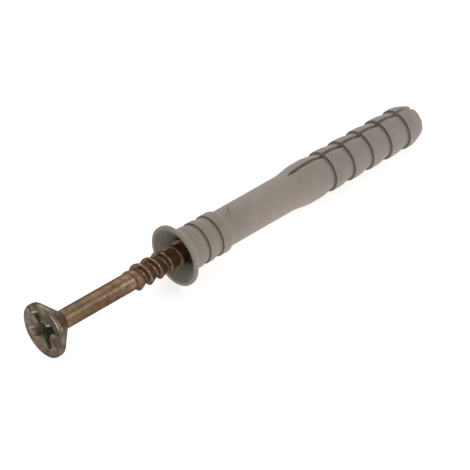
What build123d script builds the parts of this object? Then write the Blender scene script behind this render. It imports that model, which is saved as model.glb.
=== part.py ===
from build123d import *
from math import ceil, cos, sin, tau
import os

# Hammer-in wall plug with its screw started, lying on its side.
# The plug's axis runs along +X from the collar to the tip, +Z is up, and the
# origin is on the axis in the plane of the collar's front face. Millimetres.

# Plug, outside. The barbs are placed from the tip, and the swelling before them from the first barb
plug_length = 60.0
drilled_hole_radius = 4.0
collar_land = 0.57
collar_rim_length = 0.6
collar_cone_length = 1.75
neck_end = 4.0
neck_valley_radius = 3.6
neck_valley_length = 0.45
first_ring_start = 5.35
first_ring_land = 1.2
second_ring_start = 8.45
second_ring_land = 1.7
ring_fall_length = 1.1
barrel_radius = 3.45
swell_to_first_barb = 10.1
swell_length = 4.9
swell_land = 1.9
barb_count = 5
barb_pitch = 4.8
last_barb_to_tip = 4.4
barb_land = 1.2
barb_valley_radius = 3.5
barb_valley_length = 0.75
barb_bulge = 0.1
tip_radius = 3.05
tip_round = 0.35

# Slit between the plug's two legs, from a little way into the swelling to the tip
slit_width = 0.75
slit_lead = 1.3
slit_point_length = 2.4

# Screw, from the head to the point
screw_length = 65.0
head_stand_off = 29.7
head_radius = 5.05
head_rim_length = 0.8
shank_radius = 1.73
shank_length = 18.8
point_length = 3.2
point_radius = 0.7

# Saw-tooth thread: its short steep flank faces the head, its long one the point
thread_radius = 2.3
thread_root_radius = 1.65
thread_pitch = 2.45
thread_back_width = 0.16
thread_crest_width = 0.28
thread_front_width = 1.5
thread_runout = 1.9
thread_start_turn = 20
thread_steps = 24

# Cross recess in the screw's head
recess_span = 6.9
recess_arm_width = 1.5
recess_depth = 2.8
recess_floor_span = 2.6
recess_floor_arm_width = 1.0
recess_turn = 33
recess_well_radius = 1.75
recess_well_floor_radius = 0.9

# Fits: plug in the drilled hole, thread in the bore, head in the funnel
hole_clearance = 0.05
thread_clearance = 0.1
head_seat_clearance = 0.1

# The slit's blade runs on past the tip by this much
cut_margin = 1.0

# Sizes that follow from the ones above
crest_radius = drilled_hole_radius - hole_clearance
first_barb_start = plug_length - last_barb_to_tip - (barb_count - 1) * barb_pitch
swell_start = first_barb_start - swell_to_first_barb
slit_start = swell_start + slit_lead
bore_radius = thread_radius + thread_clearance
mouth_radius = head_radius + head_seat_clearance
collar_radius = mouth_radius + collar_land
collar_cone_end = collar_rim_length + collar_cone_length
head_x = -head_stand_off
point_x = head_x + screw_length
head_cone_end = head_x + head_rim_length + head_radius - shank_radius
shank_end = head_x + shank_length
thread_crest_end = thread_back_width + thread_crest_width

# Thread's section as distance along the screw and share of the full height
thread_section = [
    (0, 0),
    (thread_back_width, 1),
    (thread_crest_end, 1),
    (thread_crest_end + thread_front_width, 0),
]


def revolved(profile):
    return revolve(make_face(profile.edges()), Axis.X, 360)


def neck_ring(start_x, land, end_radius):
    land_end = start_x + land
    return [(start_x, crest_radius), (land_end, crest_radius), (land_end + ring_fall_length, end_radius)]


def neck_points():
    # Outer edge from the funnel's mouth over the collar and the two rings to the barrel.
    collar = [
        (0, mouth_radius),
        (0, collar_radius),
        (collar_rim_length, collar_radius),
        (collar_cone_end, crest_radius),
        (neck_end, crest_radius),
        (first_ring_start - neck_valley_length, neck_valley_radius),
        (first_ring_start, neck_valley_radius),
    ]
    first_ring = neck_ring(first_ring_start, first_ring_land, neck_valley_radius)
    second_ring = neck_ring(second_ring_start, second_ring_land, barrel_radius)
    return collar + first_ring + [(second_ring_start, neck_valley_radius)] + second_ring


def barb_points():
    # Five saw-tooth crests: each falls towards the tip over a slight bulge to the next one's foot.
    points = []
    land_end = swell_start + swell_length + swell_land
    for index in range(barb_count):
        step_x = first_barb_start + index * barb_pitch
        valley_x = step_x - barb_valley_length
        points += crest_fall(land_end, valley_x, barb_valley_radius)
        points += [(step_x, barb_valley_radius), (step_x, crest_radius)]
        land_end = step_x + barb_land
    return points + crest_fall(land_end, plug_length - tip_round, tip_radius)


def crest_fall(start_x, end_x, end_radius):
    middle_x = (start_x + end_x) / 2
    middle_radius = (crest_radius + end_radius) / 2 + barb_bulge
    return [(start_x, crest_radius), (middle_x, middle_radius), (end_x, end_radius)]


def plug_outline():
    # Half section: outside from the collar to the tip, then back along the bore and the funnel.
    swell_end = swell_start + swell_length
    inside = [
        (plug_length, tip_radius - tip_round),
        (plug_length, bore_radius),
        (mouth_radius - bore_radius, bore_radius),
        (0, mouth_radius),
    ]
    with BuildLine(Plane.XZ) as outline:
        Polyline(*neck_points(), (swell_start, barrel_radius))
        Spline((swell_start, barrel_radius), (swell_end, crest_radius), tangents=[(1, 0), (1, 0)])
        Polyline((swell_end, crest_radius), *barb_points(), *inside)
    return outline.line


def slit_cutter():
    # Blade seen from above: pointed at the collar end, with parallel sides to the tip.
    half = slit_width / 2
    full_x = slit_start + slit_point_length
    end_x = plug_length + cut_margin
    corners = [(slit_start, 0), (full_x, half), (end_x, half), (end_x, -half), (full_x, -half)]
    blade = make_face(Polyline(*corners, close=True).edges())
    return extrude(blade, collar_radius, both=True)


def make_plug():
    return revolved(plug_outline()) - slit_cutter()


def screw_blank():
    # Head and shank, without the threaded length and the recess.
    outline = Polyline(
        (head_x, 0),
        (head_x, head_radius),
        (head_x + head_rim_length, head_radius),
        (head_cone_end, shank_radius),
        (shank_end, shank_radius),
        (shank_end, 0),
        close=True,
    )
    return revolved(outline)


def share(value):
    return min(max(value, 0), 1)


def thread_point(step, corner):
    # One corner of the section after so many steps round the screw. The height grows over the
    # run-out and shrinks over the point, and beyond either end it stays on that end's ring.
    along, height = thread_section[corner]
    helix_x = shank_end + thread_pitch * (step / thread_steps - 1)
    x = min(max(helix_x + along, shank_end), point_x)
    height_here = height * share((x - shank_end) / thread_runout)
    full_radius = thread_root_radius + (thread_radius - thread_root_radius) * height_here
    narrowing = share((point_x - x) / (point_length + thread_pitch * height))
    radius = point_radius + (full_radius - point_radius) * narrowing
    angle = tau * (step % thread_steps) / thread_steps
    return round(x, 6), round(radius * cos(angle), 6), round(radius * sin(angle), 6)


def strip_facets(step, corner):
    # Two plane facets between this step and the next, from one corner to the one after it.
    ahead = (step, corner + 1)
    if corner + 1 == len(thread_section):
        ahead = (step + thread_steps, 0)
    near, far = thread_point(step, corner), thread_point(step + 1, corner)
    near_ahead, far_ahead = thread_point(*ahead), thread_point(ahead[0] + 1, ahead[1])
    return [(near, far, far_ahead), (near, far_ahead, near_ahead)]


def plane_face(points):
    return Face(Wire.make_polygon(points, close=True))


def threaded_length():
    # Right-hand thread in plane facets. Facets squeezed to a line at either end are left out.
    last_step = thread_steps * (ceil((point_x - shank_end) / thread_pitch) + 1)
    facets = []
    for step in range(last_step):
        for corner in range(len(thread_section)):
            facets += [facet for facet in strip_facets(step, corner) if len(set(facet)) == 3]
    ends = [[thread_point(first + step, 0) for step in range(thread_steps)] for first in (0, last_step)]
    return Solid(Shell([plane_face(points) for points in facets + ends]))


def recess_arm(turn):
    mouth = Rectangle(recess_span, recess_arm_width)
    floor = Pos(0, 0, -recess_depth) * Rectangle(recess_floor_span, recess_floor_arm_width)
    return Rot(0, 0, turn) * loft([mouth.face(), floor.face()])


def recess_cutter():
    # Two crossed arms with sloping ends and a round well between them.
    hang = (Align.CENTER, Align.CENTER, Align.MAX)
    well = Cone(recess_well_floor_radius, recess_well_radius, recess_depth, align=hang)
    cross = recess_arm(recess_turn) + recess_arm(recess_turn + 90) + well
    face_plane = Plane(origin=(head_x, 0, 0), x_dir=(0, -1, 0), z_dir=(-1, 0, 0))
    return face_plane * cross


def make_drive_screw():
    return screw_blank() - recess_cutter() + Rot(thread_start_turn, 0, 0) * threaded_length()


os.makedirs("parts", exist_ok=True)
export_step(make_plug(), "parts/plug.step")
export_step(make_drive_screw(), "parts/drive_screw.step")
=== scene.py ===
import math

import bmesh
import bpy
import numpy as np
from mathutils import Euler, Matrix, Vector


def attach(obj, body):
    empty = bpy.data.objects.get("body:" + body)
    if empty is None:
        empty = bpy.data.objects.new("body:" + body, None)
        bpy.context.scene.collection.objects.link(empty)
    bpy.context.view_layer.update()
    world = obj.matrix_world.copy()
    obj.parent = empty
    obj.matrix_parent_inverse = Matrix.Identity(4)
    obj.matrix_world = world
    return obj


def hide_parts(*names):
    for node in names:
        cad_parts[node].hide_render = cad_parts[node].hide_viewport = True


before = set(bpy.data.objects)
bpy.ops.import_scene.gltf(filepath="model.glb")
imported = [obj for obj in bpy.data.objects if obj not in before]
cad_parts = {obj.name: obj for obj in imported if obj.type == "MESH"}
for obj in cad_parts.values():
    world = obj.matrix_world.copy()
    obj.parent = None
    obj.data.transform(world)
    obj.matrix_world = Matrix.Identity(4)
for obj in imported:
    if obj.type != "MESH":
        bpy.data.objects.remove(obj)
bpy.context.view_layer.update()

mm = 0.001
print("frame loaded, nodes:", ", ".join(sorted(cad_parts)))

# Camera, from the photograph's viewing angle. Lengths in millimetres, angles in degrees.
cameraLook = {
    "aim": (14.674, 0.0, -3.005),
    "azimuth": -43.6,
    "elevation": 37.345,
    "roll": 0.12,
    "distance": 472.6,
    "focalPixels": 2667.0,
    "imagePixels": 470.0,
    "sensor": 36.0,
    "clip": (10.0, 10000.0),
}


def makeCamera(look):
    azimuth, elevation = math.radians(look["azimuth"]), math.radians(look["elevation"])
    back = Vector((
        math.sin(azimuth) * math.cos(elevation),
        -math.cos(azimuth) * math.cos(elevation),
        math.sin(elevation),
    ))
    data = bpy.data.cameras.new("photoCamera")
    data.sensor_width = look["sensor"]
    data.lens = data.sensor_width * look["focalPixels"] / look["imagePixels"]
    data.clip_start, data.clip_end = [value * mm for value in look["clip"]]
    camera = bpy.data.objects.new("photoCamera", data)
    bpy.context.scene.collection.objects.link(camera)
    camera.location = (Vector(look["aim"]) + back * look["distance"]) * mm
    roll = Euler((0, 0, math.radians(look["roll"]))).to_quaternion()
    camera.rotation_mode = "QUATERNION"
    camera.rotation_quaternion = (-back).to_track_quat("-Z", "Y") @ roll
    bpy.context.scene.camera = camera


makeCamera(cameraLook)
print("camera placed")


# Mesh helpers

# Grids of points (rows x columns x 3, in millimetres) to one object. Cells where keep is false are
# left out, points closer than weld are made one, and the faces are turned outwards.
def gridPiece(name, grids, weld=0.0004, sharpAngle=38):
    points, cells, first = [], [], 0
    for grid, keep in grids:
        rows, columns = grid.shape[:2]
        index = first + np.arange(rows * columns).reshape(rows, columns)
        corners = [index[:-1, :-1], index[:-1, 1:], index[1:, 1:], index[1:, :-1]]
        corners = np.stack(corners, axis=-1)
        keep = np.ones(corners.shape[:2], dtype=bool) if keep is None else keep
        cells.append(corners[keep])
        points.append(grid.reshape(-1, 3))
        first += rows * columns
    mesh = bpy.data.meshes.new(name)
    mesh.from_pydata((np.concatenate(points) * mm).tolist(), [], np.concatenate(cells).tolist())
    build = bmesh.new()
    build.from_mesh(mesh)
    bmesh.ops.remove_doubles(build, verts=build.verts, dist=weld * mm)
    bmesh.ops.dissolve_degenerate(build, edges=build.edges, dist=weld * mm)
    bmesh.ops.recalc_face_normals(build, faces=build.faces)
    openEdges = sum(1 for edge in build.edges if len(edge.link_faces) != 2)
    build.to_mesh(mesh)
    build.free()
    mesh.shade_smooth()
    mesh.set_sharp_from_angle(angle=math.radians(sharpAngle))
    piece = bpy.data.objects.new(name, mesh)
    bpy.context.scene.collection.objects.link(piece)
    print(name, "faces", len(mesh.polygons), "open edges", openEdges)
    return piece


# Point attribute from a formula of the finished points, which it gets in millimetres.
def addAttribute(piece, name, formula):
    mesh = piece.data
    places = np.empty(len(mesh.vertices) * 3, dtype=np.float32)
    mesh.vertices.foreach_get("co", places)
    values = formula(places.reshape(-1, 3) / mm)
    attribute = mesh.attributes.new(name, "FLOAT", "POINT")
    attribute.data.foreach_set("value", values.astype(np.float32))


# Distance of each point from the axis: the square root of y squared plus z squared.
def radiusOf(points):
    return np.hypot(points[:, 1], points[:, 2])


# Section line of (along, out) corners. Each inner corner gives way to a quadratic curve between the
# points one rounding before and after it, less where a run is short: largestCut is a share of the
# run. A support point lies beyond either end, at support times that distance from the corner.
def roundedLine(corners, rounding, steps=4, largestCut=0.3, support=1.5):
    line = np.asarray(corners, dtype=float)
    before, corner, after = line[:-2], line[1:-1], line[2:]
    toBefore, toAfter = before - corner, after - corner
    lengthBefore = np.linalg.norm(toBefore, axis=1)
    lengthAfter = np.linalg.norm(toAfter, axis=1)
    cut = np.minimum(rounding, largestCut * np.minimum(lengthBefore, lengthAfter))[:, None]
    toBefore, toAfter = toBefore / lengthBefore[:, None], toAfter / lengthAfter[:, None]
    share = np.linspace(0, 1, steps + 1)[None, :, None]
    start, end = (corner + toBefore * cut)[:, None], (corner + toAfter * cut)[:, None]
    curve = start * (1 - share) ** 2 + 2 * corner[:, None] * share * (1 - share) + end * share ** 2
    supportBefore = (corner + toBefore * cut * support)[:, None]
    supportAfter = (corner + toAfter * cut * support)[:, None]
    middle = np.concatenate([supportBefore, curve, supportAfter], axis=1).reshape(-1, 2)
    return np.concatenate([line[:1], middle, line[-1:]])


# Adds evenly spaced points to the runs of a line that are longer than the step.
def dividedLine(line, step):
    lengths = np.linalg.norm(np.diff(line, axis=0), axis=1)
    counts = np.maximum(np.ceil(lengths / step).astype(int), 1)
    runs = [index + np.arange(count) / count for index, count in enumerate(counts)]
    position = np.concatenate(runs + [[len(counts)]])
    knots = np.arange(len(line))
    return np.stack([np.interp(position, knots, values) for values in line.T], axis=1)


# Plug: grey nylon, two legs joined at the collar end. Millimetres. Each neck ring is given by its
# start, the end of its land and the end of its fall.
plugShape = {
    "length": 60.0,
    "mouthRadius": 5.15,
    "collarRadius": 5.72,
    "collarRim": 0.6,
    "collarConeEnd": 2.35,
    "crestRadius": 3.95,
    "neckEnd": 4.0,
    "valleyRadius": 3.6,
    "rings": ((5.35, 6.55, 7.65), (8.45, 10.15, 11.25)),
    "ringValleyStart": 4.9,
    "barrelRadius": 3.45,
    "swellStart": 26.3,
    "swellEnd": 31.2,
    "swellLand": 1.9,
    "barbStart": 36.4,
    "barbPitch": 4.8,
    "barbCount": 5,
    "barbLand": 1.2,
    "barbValleyRadius": 3.5,
    "barbValleyLength": 0.75,
    "barbBulge": 0.1,
    "tipRadius": 3.05,
    "tipRound": 0.35,
    "boreRadius": 2.4,
    "slitWidth": 0.75,
    "slitStart": 27.6,
    "slitBlunt": 1.1,
    "slitBluntRows": (0, 0.06, 0.25, 0.55, 1),  # shares of slitBlunt
    "slitFlare": 0.25,
    "slitFlareLength": 3.0,
    "slitWallRows": (0.15, 0.6),  # shares of the way across a wall
    "edgeRounding": 0.09,
    "longestRun": 0.7,
    "outerColumns": 60,
    "innerColumns": 60,
}


# Fall of a crest: a quadratic curve through the crest, a middle raised by the bulge, and the foot.
def crestFall(shape, startX, endX, endRadius, steps=5):
    share = np.linspace(0, 1, steps + 1)
    chord = shape["crestRadius"] + (endRadius - shape["crestRadius"]) * share
    bulge = shape["barbBulge"] * 4 * share * (1 - share)
    return np.stack([startX + (endX - startX) * share, chord + bulge], axis=1)


# Smooth run between two radii: start + (end - start) (3 s^2 - 2 s^3) for a share s of the way.
def smoothRun(startX, endX, startRadius, endRadius, steps=14):
    share = np.linspace(0, 1, steps + 1)
    radius = startRadius + (endRadius - startRadius) * (share ** 2 * (3 - 2 * share))
    return np.stack([startX + (endX - startX) * share, radius], axis=1)


# Where the steps of the barbs stand: the first one, and one more every pitch.
def barbSteps(shape):
    return [shape["barbStart"] + shape["barbPitch"] * index for index in range(shape["barbCount"])]


# Outer line of the plug from the funnel's mouth round the collar and along to the bore at the tip.
def plugOuterLine(shape):
    crest, valley, barrel = shape["crestRadius"], shape["valleyRadius"], shape["barrelRadius"]
    firstRing, secondRing = shape["rings"]
    neck = [
        (0, shape["mouthRadius"]),
        (0, shape["collarRadius"]),
        (shape["collarRim"], shape["collarRadius"]),
        (shape["collarConeEnd"], crest),
        (shape["neckEnd"], crest),
        (shape["ringValleyStart"], valley),
        (firstRing[0], valley),
        (firstRing[0], crest),
        (firstRing[1], crest),
        (firstRing[2], valley),
        (secondRing[0], valley),
        (secondRing[0], crest),
        (secondRing[1], crest),
    ]
    parts = [
        roundedLine(neck, shape["edgeRounding"])[:-1],
        smoothRun(secondRing[1], secondRing[2], crest, barrel, steps=6),
        smoothRun(shape["swellStart"], shape["swellEnd"], barrel, crest),
    ]
    landEnd = shape["swellEnd"] + shape["swellLand"]
    foot = shape["barbValleyRadius"]
    for stepX in barbSteps(shape):
        valleyX = stepX - shape["barbValleyLength"]
        parts.append(crestFall(shape, landEnd, valleyX, foot))
        landEnd = stepX + shape["barbLand"]
        barb = [(valleyX, foot), (stepX, foot), (stepX, crest), (landEnd, crest)]
        parts.append(roundedLine(barb, shape["edgeRounding"])[1:-1])
    roundStart = shape["length"] - shape["tipRound"]
    parts.append(crestFall(shape, landEnd, roundStart, shape["tipRadius"]))
    tip = [
        (roundStart, shape["tipRadius"]),
        (shape["length"], shape["tipRadius"] - shape["tipRound"]),
        (shape["length"], shape["boreRadius"]),
    ]
    parts.append(roundedLine(tip, shape["edgeRounding"])[1:])
    return dividedLine(np.concatenate(parts), shape["longestRun"])


# One leg's section at every station is a loop of columns: the outside from the upper slit edge to
# the lower, the lower slit wall, the inside back up, and the upper slit wall. A column's angle from
# +Z is edge + (pi - 2 edge) t, where edge = asin(half slit / radius), so the columns follow the
# slit. The half slit grows to full with the square root of the way along slitBlunt, and over the
# last slitFlareLength by slitFlare times the square of the way. Before the slit no wall is kept.
def legGrid(shape, side):
    outer = plugOuterLine(shape)
    slitRows = shape["slitStart"] + shape["slitBlunt"] * np.array(shape["slitBluntRows"])
    extra = np.stack([slitRows, np.interp(slitRows, outer[:, 0], outer[:, 1])], axis=1)
    outer = np.insert(outer, np.searchsorted(outer[:, 0], slitRows), extra, axis=0)
    x, outerRadius = outer[:, 0], outer[:, 1]
    innerRadius = np.maximum(shape["boreRadius"], shape["mouthRadius"] - x)
    opened = np.clip((x - shape["slitStart"]) / shape["slitBlunt"], 0, 1)
    flared = np.clip((x - shape["length"]) / shape["slitFlareLength"] + 1, 0, 1)
    half = shape["slitWidth"] / 2 * np.sqrt(opened) + shape["slitFlare"] * flared ** 2

    def columns(radius, count):
        edge = np.arcsin(half / radius)[:, None]
        angle = edge + (math.pi - 2 * edge) * np.linspace(0, 1, count)[None, :]
        return radius[:, None] * np.sin(angle), radius[:, None] * np.cos(angle)

    def wall(fromZ, toZ):
        share = np.array(shape["slitWallRows"])[None, :]
        wallZ = fromZ[:, None] * (1 - share) + toZ[:, None] * share
        return np.repeat(half[:, None], share.size, axis=1), wallZ

    outY, outZ = columns(outerRadius, shape["outerColumns"])
    inY, inZ = columns(innerRadius, shape["innerColumns"])
    inY, inZ = inY[:, ::-1], inZ[:, ::-1]
    lowY, lowZ = wall(outZ[:, -1], inZ[:, 0])
    topY, topZ = wall(inZ[:, -1], outZ[:, 0])
    y = np.concatenate([outY, lowY, inY, topY, outY[:, :1]], axis=1) * side
    z = np.concatenate([outZ, lowZ, inZ, topZ, outZ[:, :1]], axis=1)
    grid = np.stack([np.repeat(x[:, None], y.shape[1], axis=1), y, z], axis=-1)
    keep = np.ones((grid.shape[0] - 1, grid.shape[1] - 1), dtype=bool)
    isOpen = ((half[:-1] > 0) | (half[1:] > 0))[:, None]
    wallCells = len(shape["slitWallRows"]) + 1
    lowWall = shape["outerColumns"] - 1
    keep[:, lowWall:lowWall + wallCells] = isOpen
    keep[:, -wallCells:] = isOpen
    return grid, keep


plugPiece = gridPiece("wallPlug", [legGrid(plugShape, 1), legGrid(plugShape, -1)])


# Where the plug's attributes, the masks of its painted shade and painted light, begin and end.
# Millimetres, but for the share boreAtRim.
plugShade = {
    "stepReach": 0.32,
    "stepLap": 0.02,
    "stepBelowCrest": 0.06,
    "stepFade": 0.12,
    "outsideMargin": 0.3,
    "boreAtRim": 0.4,
    "boreRun": 6.0,
    "boreFade": (12.0, 24.0),
    "boreTolerance": 0.01,
    "behindRim": 0.04,
    "wallBelowOutside": 0.06,
    "wallAboveBore": 0.1,
    "wallHalfWidth": 0.7,
}


# Mask of the painted shade at the foot of each step: how deep a point of the outside lies in the
# corner there. It is 1 on the step's face and falls to 0 over stepReach in the valley before it; up
# the face it falls to 0 over stepFade, which ends stepBelowCrest under the crest.
def stepShadeDepth(points):
    radius = radiusOf(points)
    starts = [ring[0] for ring in plugShape["rings"]] + barbSteps(plugShape)
    ahead = np.subtract.outer(starts, points[:, 0])
    toStep = np.min(np.where(ahead > -plugShade["stepLap"], ahead, np.inf), axis=0)
    below = plugShape["crestRadius"] - plugShade["stepBelowCrest"] - radius
    outside = radius > plugShape["boreRadius"] + plugShade["outsideMargin"]
    near = np.clip(1 - toStep / plugShade["stepReach"], 0, 1)
    return near * np.clip(below / plugShade["stepFade"], 0, 1) * outside


# Mask of the painted shade in the funnel and the bore: how far inside them a point lies,
# boreAtRim behind the rim, rising by the distance over boreRun up to 1, and back to 0 over the
# fade, so that the tip keeps its own colour.
def boreShadeDepth(points):
    x = points[:, 0]
    inner = np.maximum(plugShape["boreRadius"], plugShape["mouthRadius"] - x)
    inside = radiusOf(points) <= inner + plugShade["boreTolerance"]
    fadeStart, fadeEnd = plugShade["boreFade"]
    rise = np.clip(plugShade["boreAtRim"] + x / plugShade["boreRun"], 0, 1)
    fall = np.clip((fadeEnd - x) / (fadeEnd - fadeStart), 0, 1)
    return rise * fall * inside * (x > plugShade["behindRim"])


# Mask of the painted light on the slit's walls: 1 on the walls of the slit, between the outside and
# the bore, and 0 elsewhere.
def slitWallLight(points):
    x, radius = points[:, 0], radiusOf(points)
    line = plugOuterLine(plugShape)
    outside = np.interp(x, line[:, 0], line[:, 1]) - plugShade["wallBelowOutside"]
    between = (radius < outside) & (radius > plugShape["boreRadius"] + plugShade["wallAboveBore"])
    beside = np.abs(points[:, 1]) < plugShade["wallHalfWidth"]
    return between * beside * (x > plugShape["slitStart"])


addAttribute(plugPiece, "slitWallLight", slitWallLight)
addAttribute(plugPiece, "stepShadeDepth", stepShadeDepth)
addAttribute(plugPiece, "boreShadeDepth", boreShadeDepth)
print("plug made")

# Screw: head with a cross recess, plain shank, saw-tooth thread. Millimetres and degrees.
screwShape = {
    "headX": -29.7,
    "headRadius": 5.05,
    "headRim": 0.8,
    "headRounding": 0.09,
    "shankRadius": 1.73,
    "shankEnd": -10.9,
    "pointX": 35.3,
    "pointLength": 3.2,
    "pointRadius": 0.7,
    "threadRadius": 2.3,
    "rootRadius": 1.65,
    "pitch": 2.45,
    "backWidth": 0.16,
    "crestWidth": 0.28,
    "frontWidth": 1.5,
    "runout": 1.9,
    "startTurn": 20.0,
    "recessSpan": 6.9,
    "recessArm": 1.5,
    "recessDepth": 2.8,
    "floorSpan": 2.6,
    "floorArm": 1.0,
    "wellRadius": 1.75,
    "wellFloorRadius": 0.9,
    "recessTurn": 33.0,
    "recessLevels": (1, 0.75, 0.5, 0.25, 0.08),  # shares of the depth
    "floorDish": ((0.12, 0.35), (0.16, 0)),  # deeper than the floor, share of its size
    "mouthRings": ((0.16, 0), (0.08, 0.03), (0.03, 0.08), (0, 0.16), (0, 0.22)),  # deep, wider
    "faceRing": 0.8,
    "evenRun": 4.0,
    "longestRun": 0.8,
    "threadRounding": 0.07,
    "capRing": 0.3,
    "columns": 96,
}


# Outline of the cross recess at some depth, as 96 points in order round the head. An eighth of it
# runs along half an arm's end, down the arm's side to where the side meets the round well, and
# along the well to 45 degrees. Its mirror image makes a quarter, which is then turned three times.
def recessOutline(halfSpan, halfArm, well):
    endShares = np.array([0, 0.5, 0.85])
    sideShares = np.array([0, 0.12, 0.4, 0.7])
    wellShares = np.linspace(0, 1, 6)
    joint, jointAngle = np.sqrt(well ** 2 - halfArm ** 2), np.arcsin(halfArm / well)
    end = np.stack([np.full(endShares.size, halfSpan), halfArm * endShares], axis=1)
    sideX = halfSpan + (joint - halfSpan) * sideShares
    side = np.stack([sideX, np.full(sideShares.size, halfArm)], axis=1)
    angle = jointAngle + (math.pi / 4 - jointAngle) * wellShares
    arc = np.stack([well * np.cos(angle), well * np.sin(angle)], axis=1)
    eighth = np.concatenate([end, side, arc])
    mirrored = eighth[1:-1][::-1, ::-1]
    quarter = np.concatenate([eighth, mirrored])
    turns = np.arange(4) * math.pi / 2
    cosine, sine = np.cos(turns)[:, None], np.sin(turns)[:, None]
    u = quarter[None, :, 0] * cosine - quarter[None, :, 1] * sine
    v = quarter[None, :, 0] * sine + quarter[None, :, 1] * cosine
    return u.ravel(), v.ravel()


# Head and shank as rings of points. The recess's rings shrink linearly with depth, the face joins
# its mouth to the rim, and past the rim the angles go over from the outline's to even ones.
def headGrid(shape):
    rings = []
    for depth in shape["recessLevels"]:
        span = shape["recessSpan"] / 2 + (shape["floorSpan"] - shape["recessSpan"]) / 2 * depth
        arm = shape["recessArm"] / 2 + (shape["floorArm"] - shape["recessArm"]) / 2 * depth
        well = shape["wellRadius"] + (shape["wellFloorRadius"] - shape["wellRadius"]) * depth
        u, v = recessOutline(span, arm, well)
        rings.append((np.full_like(u, shape["headX"] + shape["recessDepth"] * depth), u, v))
    floorX, floorU, floorV = rings[0]
    for deeper, share in shape["floorDish"]:
        rings.insert(0, (floorX + deeper, floorU * share, floorV * share))
    for deep, wider in shape["mouthRings"]:
        span, arm = shape["recessSpan"] / 2 + wider, shape["recessArm"] / 2 + wider
        u, v = recessOutline(span, arm, shape["wellRadius"] + wider)
        rings.append((np.full_like(u, shape["headX"] + deep), u, v))
    faceAngle = np.unwrap(np.arctan2(v, u))
    evenAngle = faceAngle[0] + np.arange(len(faceAngle)) * math.tau / len(faceAngle)
    rimEnd = shape["headX"] + shape["headRim"]
    coneEnd = rimEnd + shape["headRadius"] - shape["shankRadius"]
    section = [
        (shape["headX"], shape["headRadius"] - shape["faceRing"]),
        (shape["headX"], shape["headRadius"]),
        (rimEnd, shape["headRadius"]),
        (coneEnd, shape["shankRadius"]),
        (shape["shankEnd"], shape["shankRadius"]),
    ]
    rounded = roundedLine(section, shape["headRounding"], steps=6)
    for x, radius in dividedLine(rounded, shape["longestRun"]):
        even = np.clip((x - rimEnd) / shape["evenRun"], 0, 1)
        angle = faceAngle * (1 - even) + evenAngle * even
        rings.append((np.full_like(angle, x), radius * np.cos(angle), radius * np.sin(angle)))
    return turnedGrid(np.array(rings), shape["recessTurn"])


# Rings of (along, u, v) to a closed grid, turned about the axis by so many degrees. Unturned, u
# points along -Y and v along +Z.
def turnedGrid(rings, degrees):
    turn = math.radians(degrees)
    x, u, v = rings[:, 0], rings[:, 1], rings[:, 2]
    y = -(u * math.cos(turn) - v * math.sin(turn))
    z = u * math.sin(turn) + v * math.cos(turn)
    grid = np.stack([x, y, z], axis=-1)
    return np.concatenate([grid, grid[:, :1]], axis=1)


# Thread: at each step round the screw x is helix + along, and the radius is root + (crest - root)
# times height times grown. Grown rises from 0 to 1 over the run-out, and there the root falls from
# the shank's radius. The point narrows it, and x is held between the shank's and the point's end.
def threadGrid(shape, startAngle):
    back, crest, front = shape["backWidth"], shape["crestWidth"], shape["frontWidth"]
    section = roundedLine([
        (0, 0), (back, 1), (back + crest, 1), (back + crest + front, 0), (shape["pitch"], 0),
    ], shape["threadRounding"], steps=3)
    along, height = section[None, :, 0], section[None, :, 1]
    perTurn = shape["columns"]
    turns = math.ceil((shape["pointX"] - shape["shankEnd"]) / shape["pitch"]) + 1
    step = np.arange(turns * perTurn + 1)[:, None]
    x = shape["shankEnd"] + shape["pitch"] * (step / perTurn - 1) + along
    x = np.clip(x, shape["shankEnd"], shape["pointX"])
    grown = np.clip((x - shape["shankEnd"]) / shape["runout"], 0, 1)
    root = shape["shankRadius"] + (shape["rootRadius"] - shape["shankRadius"]) * grown
    full = root + (shape["threadRadius"] - root) * height * grown
    reach = shape["pointLength"] + shape["pitch"] * height
    narrowing = np.clip((shape["pointX"] - x) / reach, 0, 1)
    radius = shape["pointRadius"] + (full - shape["pointRadius"]) * narrowing
    angle = startAngle + math.tau * (step % perTurn) / perTurn
    return np.stack([x, radius * np.cos(angle), radius * np.sin(angle)], axis=-1)


# Flat end of the point: rings of the point's radius and a smaller one round the middle.
def pointCap(shape, startAngle):
    step = np.arange(shape["columns"] + 1) % shape["columns"]
    angle = startAngle + step * math.tau / shape["columns"]
    radius = np.array([shape["pointRadius"], shape["capRing"], 0.0])[:, None]
    x = np.full((radius.size, angle.size), shape["pointX"])
    return np.stack([x, radius * np.cos(angle), radius * np.sin(angle)], axis=-1)


# The thread starts on the column of the shank's last ring that is nearest to its start turn.
headRings = headGrid(screwShape)
ringStart = math.atan2(headRings[-1, 0, 2], headRings[-1, 0, 1])
stepAngle = math.tau / screwShape["columns"]
startSteps = round((math.radians(screwShape["startTurn"]) - ringStart) / stepAngle)
threadStart = ringStart + startSteps * stepAngle
screwPiece = gridPiece("driveScrew", [
    (headRings, None),
    (threadGrid(screwShape, threadStart), None),
    (pointCap(screwShape, threadStart), None),
], sharpAngle=50)

# Painted highlight on the rim and painted shade in the recess, in millimetres and degrees. An arc
# is its middle from the top towards -Y, its half length, the fade at its ends and how many times
# fainter it is.
screwHighlightAndShade = {
    "rimWidth": 0.075,
    "rimPlateau": 1.6,
    "rimArcs": ((42, 17, 6, 1), (-120, 40, 10, 3)),
    "recessFull": 1.2,
    "recessEnd": 3.2,
    "skin": 0.28,
}


# 1 on the crests of the thread, 0 at its root and off the thread: the share of the tooth's height.
def crestHeight(points):
    onThread = points[:, 0] > screwShape["shankEnd"]
    reach = screwShape["threadRadius"] - screwShape["rootRadius"]
    return np.clip((radiusOf(points) - screwShape["rootRadius"]) / reach, 0, 1) * onThread
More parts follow.
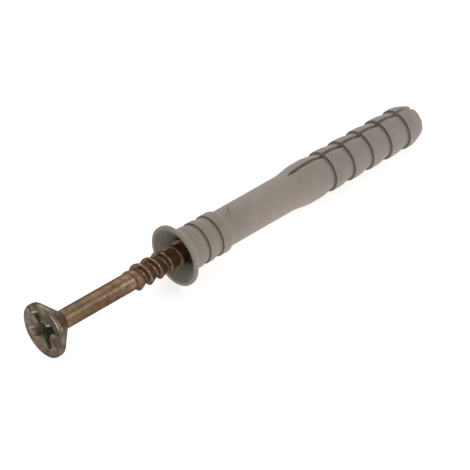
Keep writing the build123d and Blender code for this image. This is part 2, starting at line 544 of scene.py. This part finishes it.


# How bright the painted highlight on the rim's edge is: rimPlateau less the distance from the edge
# over rimWidth, held between 0 and 1, times the brighter of the arcs, each of which fades linearly
# at its ends.
def rimHighlight(points):
    fromEdge = radiusOf(points) - screwShape["headRadius"]
    toRim = np.hypot(fromEdge, points[:, 0] - screwShape["headX"])
    fromTop = np.degrees(np.arctan2(-points[:, 1], points[:, 2]))
    arcs = [
        np.clip((reach - np.abs(fromTop - middle)) / fade, 0, 1) / fainter
        for middle, reach, fade, fainter in screwHighlightAndShade["rimArcs"]
    ]
    nearRim = np.clip(screwHighlightAndShade["rimPlateau"] - toRim / screwHighlightAndShade["rimWidth"], 0, 1)
    return nearRim * np.maximum(*arcs)


# How deep a point lies in the cross recess, the mask of its painted shade: 0 at the face and 1 from
# recessFull down. The head's outside, which is as wide as the head over the rim and narrows with
# its cone, is left out.
def recessDepth(points):
    deep = points[:, 0] - screwShape["headX"]
    outside = screwShape["headRadius"] - np.maximum(deep - screwShape["headRim"], 0)
    inside = (radiusOf(points) < outside - screwHighlightAndShade["skin"]) & (deep < screwHighlightAndShade["recessEnd"])
    return np.clip(deep / screwHighlightAndShade["recessFull"], 0, 1) * inside


addAttribute(screwPiece, "crestHeight", crestHeight)
addAttribute(screwPiece, "recessDepth", recessDepth)
addAttribute(screwPiece, "rimHighlight", rimHighlight)
print("screw made")


# Materials

def newMaterial(name):
    material = bpy.data.materials.new(name)
    material.use_nodes = True
    tree = material.node_tree
    tree.nodes.clear()
    output = tree.nodes.new("ShaderNodeOutputMaterial")
    shader = tree.nodes.new("ShaderNodeBsdfPrincipled")
    tree.links.new(shader.outputs["BSDF"], output.inputs["Surface"])
    return material, tree, shader


# Noise of so many cells a metre; stretch scales the axes before it.
def noise(tree, coords, cells, detail, roughness=0.5, stretch=None):
    if stretch:
        place = tree.nodes.new("ShaderNodeMapping")
        place.inputs["Scale"].default_value = stretch
        tree.links.new(coords, place.inputs["Vector"])
        coords = place.outputs[0]
    node = tree.nodes.new("ShaderNodeTexNoise")
    node.inputs["Scale"].default_value = cells
    node.inputs["Detail"].default_value = detail
    node.inputs["Roughness"].default_value = roughness
    tree.links.new(coords, node.inputs["Vector"])
    return node.outputs["Fac"]


# Value carried in a straight line from low and high to toLow and toHigh, and held beyond them.
def rangeOf(tree, value, low, high, toLow=0.0, toHigh=1.0):
    node = tree.nodes.new("ShaderNodeMapRange")
    limits = {"From Min": low, "From Max": high, "To Min": toLow, "To Max": toHigh}
    for name, number in limits.items():
        node.inputs[name].default_value = number
    tree.links.new(value, node.inputs["Value"])
    return node.outputs["Result"]


# Noise brought to a range. A setting is its cells a metre, its detail, its own low and high, and
# the two values these become, which are counted from middle.
def spreadNoise(tree, coords, setting, middle=0.0):
    cells, detail, low, high, toLow, toHigh = setting
    value = noise(tree, coords, cells, detail)
    return rangeOf(tree, value, low, high, middle + toLow, middle + toHigh)


# One value before a run along the axis, another after it and a straight line between.
def alongRun(tree, along, run, before=0.0, after=1.0):
    return rangeOf(tree, along, run[0] * mm, run[1] * mm, before, after)


def mixColours(tree, factor, first, second, blend="MIX"):
    node = tree.nodes.new("ShaderNodeMix")
    node.data_type = "RGBA"
    node.blend_type = blend
    sockets = (node.inputs[0], node.inputs[6], node.inputs[7])  # factor and the two colours
    for socket, value in zip(sockets, (factor, first, second)):
        if isinstance(value, bpy.types.NodeSocket):
            tree.links.new(value, socket)
        elif isinstance(value, (int, float)):
            socket.default_value = value
        else:
            socket.default_value = (*value, 1.0)
    return node.outputs[2]


def calc(tree, operation, first, second=0.0):
    node = tree.nodes.new("ShaderNodeMath")
    node.operation = operation
    for socket, value in ((node.inputs[0], first), (node.inputs[1], second)):
        if isinstance(value, bpy.types.NodeSocket):
            tree.links.new(value, socket)
        else:
            socket.default_value = value
    return node.outputs[0]


# Each part of the colour times the factor, which may be more than 1.
def brightened(tree, colour, factor):
    node = tree.nodes.new("ShaderNodeVectorMath")
    node.operation = "SCALE"
    tree.links.new(colour, node.inputs[0])
    tree.links.new(factor, node.inputs["Scale"])
    return node.outputs[0]


# The place along the plug's axis: x, in metres.
def alongAxis(tree, coords):
    node = tree.nodes.new("ShaderNodeSeparateXYZ")
    tree.links.new(coords, node.inputs[0])
    return node.outputs[0]


def attributeOf(tree, name):
    node = tree.nodes.new("ShaderNodeAttribute")
    node.attribute_name = name
    return node.outputs["Fac"]


def bump(tree, shader, height, strength, distance):
    node = tree.nodes.new("ShaderNodeBump")
    node.inputs["Strength"].default_value = strength
    node.inputs["Distance"].default_value = distance
    tree.links.new(height, node.inputs["Height"])
    tree.links.new(node.outputs["Normal"], shader.inputs["Normal"])


# Small marks: each falls from 1 to 0 where the distance from its middle, turned and stretched, goes
# from a little under its size to a little over it.
def markSpots(tree, coords, marks, softness=0.3):
    total = None
    for mark in marks:
        place = tree.nodes.new("ShaderNodeMapping")
        place.vector_type = "TEXTURE"
        place.inputs["Location"].default_value = [value * mm for value in mark["at"]]
        place.inputs["Rotation"].default_value = [math.radians(value) for value in mark["turn"]]
        tree.links.new(coords, place.inputs["Vector"])
        stretch = tree.nodes.new("ShaderNodeMapping")
        stretch.inputs["Scale"].default_value = mark["stretch"]
        tree.links.new(place.outputs[0], stretch.inputs["Vector"])
        length = tree.nodes.new("ShaderNodeVectorMath")
        length.operation = "LENGTH"
        tree.links.new(stretch.outputs[0], length.inputs[0])
        near, far = mark["size"] * (1 - softness) * mm, mark["size"] * (1 + softness) * mm
        spot = rangeOf(tree, length.outputs["Value"], near, far, 1.0, 0.0)
        total = spot if total is None else calc(tree, "MAXIMUM", total, spot)
    return total


# Colours are linear. A noise is what spreadNoise takes, and grain is cells a metre and detail. Runs
# and marks are in millimetres; a bump is its strength and its depth in metres.
nylonLook = {
    "colour": (0.276, 0.233, 0.196),
    "paleColour": (0.302, 0.259, 0.222),
    "cloud": (420, 4, 0.35, 0.7, 0.0, 1.0),
    "barrelTone": 1.15,
    "barrelRise": (11, 18),
    "barrelFall": (28, 37),
    "tipTone": (1.01, 1.025, 1.075),
    "tipRun": (26, 50),
    # painted shade at the steps' feet; the mould marks take this colour too
    "shadeAndMarkColour": (0.095, 0.064, 0.046),
    "stepShade": (0.2, 0.9, 0.0, 0.6),
    # painted shade in the funnel and the bore
    "boreShadeColour": (0.138, 0.154, 0.108),
    "boreShade": 0.9,
    # painted light on the slit's walls
    "slitLightColour": (0.46, 0.36, 0.31),
    "roughness": 0.56,
    "roughNoise": (900, 3, 0.3, 0.7, -0.06, 0.06),
    "specular": 0.3,
    "grain": ((5200, 3), (900, 2)),
    "bump": (0.12, 0.00006),
    "markShade": 0.75,
    "marks": (
        {"at": (13.0, 0.0, 3.45), "turn": (0, 0, -31), "stretch": (1.0, 0.12, 0.1), "size": 0.12},
        {"at": (11.6, -0.85, 3.34), "turn": (0, 0, 0), "stretch": (1.0, 1.0, 1.0), "size": 0.15},
    ),
}


# Satin moulded nylon: faint cloudy tone, a little paler on the barrel and cooler on the barbs, with
# fine grain. Painted shade darkens the foot of each step and makes the funnel and the bore dark and
# greenish, and painted light makes the slit's walls paler. A dash and a dot left by the mould are
# on top of the barrel.
def makeNylon(look):
    material, tree, shader = newMaterial("greyNylon")
    coords = tree.nodes.new("ShaderNodeTexCoord").outputs["Object"]
    cloud = spreadNoise(tree, coords, look["cloud"])
    colour = mixColours(tree, cloud, look["colour"], look["paleColour"])
    along = alongAxis(tree, coords)
    rise = alongRun(tree, along, look["barrelRise"])
    fall = alongRun(tree, along, look["barrelFall"], 1.0, 0.0)
    barrel = calc(tree, "MULTIPLY", rise, fall)
    colour = brightened(tree, colour, rangeOf(tree, barrel, 0.0, 1.0, 1.0, look["barrelTone"]))
    towardsTip = alongRun(tree, along, look["tipRun"])
    tipTone = mixColours(tree, towardsTip, (1.0, 1.0, 1.0), look["tipTone"])
    colour = mixColours(tree, 1.0, colour, tipTone, "MULTIPLY")
    # painted shade at the foot of each step
    shade = rangeOf(tree, attributeOf(tree, "stepShadeDepth"), *look["stepShade"])
    colour = mixColours(tree, shade, colour, look["shadeAndMarkColour"])
    # painted shade in the funnel and the bore, dark and greenish
    inside = rangeOf(tree, attributeOf(tree, "boreShadeDepth"), 0.0, 1.0, 0.0, look["boreShade"])
    colour = mixColours(tree, inside, colour, look["boreShadeColour"])
    # painted light on the slit's walls
    colour = mixColours(tree, attributeOf(tree, "slitWallLight"), colour, look["slitLightColour"])
    mark = calc(tree, "MULTIPLY", markSpots(tree, coords, look["marks"]), look["markShade"])
    colour = mixColours(tree, mark, colour, look["shadeAndMarkColour"])
    tree.links.new(colour, shader.inputs["Base Color"])
    rough = spreadNoise(tree, coords, look["roughNoise"], look["roughness"])
    tree.links.new(rough, shader.inputs["Roughness"])
    shader.inputs["Specular IOR Level"].default_value = look["specular"]
    fine, coarse = [noise(tree, coords, *setting) for setting in look["grain"]]
    bump(tree, shader, calc(tree, "ADD", fine, coarse), *look["bump"])
    return material


# The zones are the tones that take over from the head to the thread, each with its run.
platingLook = {
    "shankColour": (0.158, 0.104, 0.064),
    "redColour": (0.225, 0.146, 0.100),
    "threadColour": (0.182, 0.117, 0.076),
    "headColour": (0.112, 0.103, 0.074),
    "headPurple": (0.248, 0.186, 0.160),
    "patches": (420, 3, 0.44, 0.58, 0.0, 1.0),
    "zones": (
        ("redColour", (-29, -28)),
        ("shankColour", (-26.2, -23.5)),
        ("redColour", (-15, -11)),
        ("threadColour", (-11, -9.5)),
    ),
    # painted highlight on the thread's crests
    "crestHighlightColour": (0.290, 0.200, 0.128),
    "crestRange": (0.8, 1.0),
    "broken": (1100, 3, 0.44, 0.62, 0.0, 1.0),
    # painted shade in the recess
    "recessShadeColour": (0.120, 0.128, 0.094),
    "recessRange": (0.0, 0.5),
    # painted highlight on the rim's edge and the recess's edges
    "highlightColour": (0.94, 0.90, 0.82),
    "tint": (520, 3, 0.4, 0.6, 0.0, 1.0),
    "tintTones": ((1.10, 0.95, 0.98), (0.94, 1.02, 0.92)),
    "ringColour": (0.070, 0.048, 0.032),
    "ringNoise": (900, 3, 0.6, (3.2, 0.8, 0.8)),
    "ringRange": (0.5, 0.68, 0.0, 0.45),
    "mottle": (900, 4, 0.35, 0.68, 0.76, 1.24),
    "grazing": (0.12, 0.10, 0.07),
    "specular": 0.25,
    "metallic": 0.70,
    # metallic where the painted shade and highlights are
    "shadeAndHighlightMetallic": 0.15,
    "roughness": 0.34,
    "roughNoise": (1500, 3, 0.3, 0.7, -0.08, 0.1),
    "threadGloss": 0.05,
    "glossRun": (-11, -9.5),
    "grain": (3500, 3),
    "bump": (0.22, 0.0001),
    "glintWidth": 0.125,
    "glints": (
        (-0.2, 3.52, 0.8),
        (-2.9, 0.80, 0.7),
        (2.0, 0.80, 0.9),
        (0.85, 1.80, 0.15),
        (0.15, -3.50, 0.45),
    ),
}


# Glints on the edges of the recess, from (u, v, half length) along and across its arms.
def recessGlints(shape, look):
    turn = math.radians(shape["recessTurn"])
    marks = []
    for u, v, reach in look["glints"]:
        y = v * math.sin(turn) - u * math.cos(turn)
        z = u * math.sin(turn) + v * math.cos(turn)
        marks.append({
            "at": (shape["headX"], y, z),
            "turn": (-shape["recessTurn"], 0, 0),
            "stretch": (1, look["glintWidth"] / reach, 1),
            "size": look["glintWidth"],
        })
    return marks


# Dull brown plating: its tone changes along the screw, with purple and olive clouds and fine dark
# lines round it. A painted highlight makes the thread's crests paler in broken lines, painted shade
# makes the recess darker and greener, and painted highlights make the rim's edge and the recess's
# edges on the head bright; the painted shade and highlights are less metallic.
def makePlating(look):
    material, tree, shader = newMaterial("brownPlating")
    coords = tree.nodes.new("ShaderNodeTexCoord").outputs["Object"]
    along = alongAxis(tree, coords)
    patches = spreadNoise(tree, coords, look["patches"])
    colour = mixColours(tree, patches, look["headColour"], look["headPurple"])
    for zoneColour, run in look["zones"]:
        colour = mixColours(tree, alongRun(tree, along, run), colour, look[zoneColour])
    broken = spreadNoise(tree, coords, look["broken"])
    # painted highlight on the thread's crests, in broken lines
    crest = rangeOf(tree, attributeOf(tree, "crestHeight"), *look["crestRange"])
    colour = mixColours(tree, calc(tree, "MULTIPLY", crest, broken), colour, look["crestHighlightColour"])
    # painted shade in the recess
    recess = rangeOf(tree, attributeOf(tree, "recessDepth"), *look["recessRange"])
    colour = mixColours(tree, recess, colour, look["recessShadeColour"])
    # painted highlights on the recess's edges and the rim's edge
    glints = markSpots(tree, coords, recessGlints(screwShape, look))
    paintedHighlight = calc(tree, "MAXIMUM", attributeOf(tree, "rimHighlight"), glints)
    colour = mixColours(tree, paintedHighlight, colour, look["highlightColour"])
    tone = mixColours(tree, spreadNoise(tree, coords, look["tint"]), *look["tintTones"])
    colour = mixColours(tree, 1.0, colour, tone, "MULTIPLY")
    rings = noise(tree, coords, *look["ringNoise"])
    ringShade = rangeOf(tree, rings, *look["ringRange"])
    colour = mixColours(tree, ringShade, colour, look["ringColour"])
    mottle = spreadNoise(tree, coords, look["mottle"])
    tree.links.new(brightened(tree, colour, mottle), shader.inputs["Base Color"])
    # the painted shade and highlights are less metallic
    shadeAndHighlight = calc(tree, "MAXIMUM", recess, paintedHighlight)
    metallic = rangeOf(tree, shadeAndHighlight, 0.0, 1.0, look["metallic"], look["shadeAndHighlightMetallic"])
    tree.links.new(metallic, shader.inputs["Metallic"])
    shader.inputs["Specular IOR Level"].default_value = look["specular"]
    shader.inputs["Specular Tint"].default_value = (*look["grazing"], 1.0)
    rough = spreadNoise(tree, coords, look["roughNoise"], look["roughness"])
    gloss = alongRun(tree, along, look["glossRun"], 0.0, look["threadGloss"])
    tree.links.new(calc(tree, "SUBTRACT", rough, gloss), shader.inputs["Roughness"])
    grain = calc(tree, "ADD", noise(tree, coords, *look["grain"]), rings)
    bump(tree, shader, grain, *look["bump"])
    return material


plugPiece.data.materials.append(makeNylon(nylonLook))
screwPiece.data.materials.append(makePlating(platingLook))
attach(plugPiece, "plug")
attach(screwPiece, "screw")
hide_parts("plug")
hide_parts("drive_screw")
print("materials set")

# Stage, in metres.
stageLook = {
    "floorSize": 4.0,
    "floorColour": (0.80, 0.80, 0.79),
    "floorRoughness": 0.9,
    "floorGlow": 0.65,
    "floorBounce": 0.66,
    "fill": 0.44,
    "lampAim": (0.015, 0.0, 0.0),
    "lamps": (
        {"name": "skyLamp", "from": (0.25, 0.45, 0.70), "size": 1.0, "power": 2.75},
        {"name": "sideLamp", "from": (0.50, -0.52, 0.48), "size": 0.32, "power": 1.25},
    ),
}


# 1 for the camera's own rays and for mirrored and refracted ones, 0 for everything else.
def backgroundRay(tree):
    path = tree.nodes.new("ShaderNodeLightPath")
    seen = calc(tree, "ADD", path.outputs["Is Camera Ray"], path.outputs["Is Glossy Ray"])
    seen = calc(tree, "ADD", seen, path.outputs["Is Transmission Ray"])
    return calc(tree, "MINIMUM", seen, 1.0)


# The floor touches the collar's rim and the last barb's crest, as the plug lies on its side. It is
# the collar's radius less slope times x below the axis.
def makeFloor(look):
    half = look["floorSize"] / 2
    lastCrest = barbSteps(plugShape)[-1] + plugShape["barbLand"]
    slope = (plugShape["collarRadius"] - plugShape["crestRadius"]) / lastCrest
    corners = np.array([(-half, -half), (half, -half), (half, half), (-half, half)])
    heights = -plugShape["collarRadius"] * mm + slope * corners[:, 0]
    mesh = bpy.data.meshes.new("floor")
    mesh.from_pydata(np.column_stack([corners, heights]).tolist(), [], [(0, 1, 2, 3)])
    floor = bpy.data.objects.new("floor", mesh)
    bpy.context.scene.collection.objects.link(floor)
    material, tree, shader = newMaterial("floorPaper")
    shader.inputs["Base Color"].default_value = (*look["floorColour"], 1.0)
    shader.inputs["Roughness"].default_value = look["floorRoughness"]
    shader.inputs["Specular IOR Level"].default_value = 0.0
    shader.inputs["Emission Color"].default_value = (1.0, 1.0, 1.0, 1.0)
    glow = rangeOf(tree, backgroundRay(tree), 0.0, 1.0, look["floorBounce"], look["floorGlow"])
    tree.links.new(glow, shader.inputs["Emission Strength"])
    mesh.materials.append(material)


def makeWorld(look):
    world = bpy.data.worlds.new("studioWorld")
    world.use_nodes = True
    tree = world.node_tree
    tree.nodes.clear()
    output = tree.nodes.new("ShaderNodeOutputWorld")
    background = tree.nodes.new("ShaderNodeBackground")
    background.inputs["Color"].default_value = (1.0, 1.0, 1.0, 1.0)
    strength = rangeOf(tree, backgroundRay(tree), 0.0, 1.0, look["fill"], 1.0)
    tree.links.new(strength, background.inputs["Strength"])
    tree.links.new(background.outputs[0], output.inputs["Surface"])
    bpy.context.scene.world = world


def makeLamp(lamp, aim):
    data = bpy.data.lights.new(lamp["name"], "AREA")
    data.shape = "DISK"
    data.size = lamp["size"]
    data.energy = lamp["power"]
    light = bpy.data.objects.new(lamp["name"], data)
    bpy.context.scene.collection.objects.link(light)
    light.location = Vector(lamp["from"])
    light.rotation_mode = "QUATERNION"
    light.rotation_quaternion = (aim - light.location).to_track_quat("-Z", "Y")


makeFloor(stageLook)
makeWorld(stageLook)
for lamp in stageLook["lamps"]:
    makeLamp(lamp, Vector(stageLook["lampAim"]))
bpy.context.scene.view_settings.view_transform = "Standard"
print("stage and lamps set")
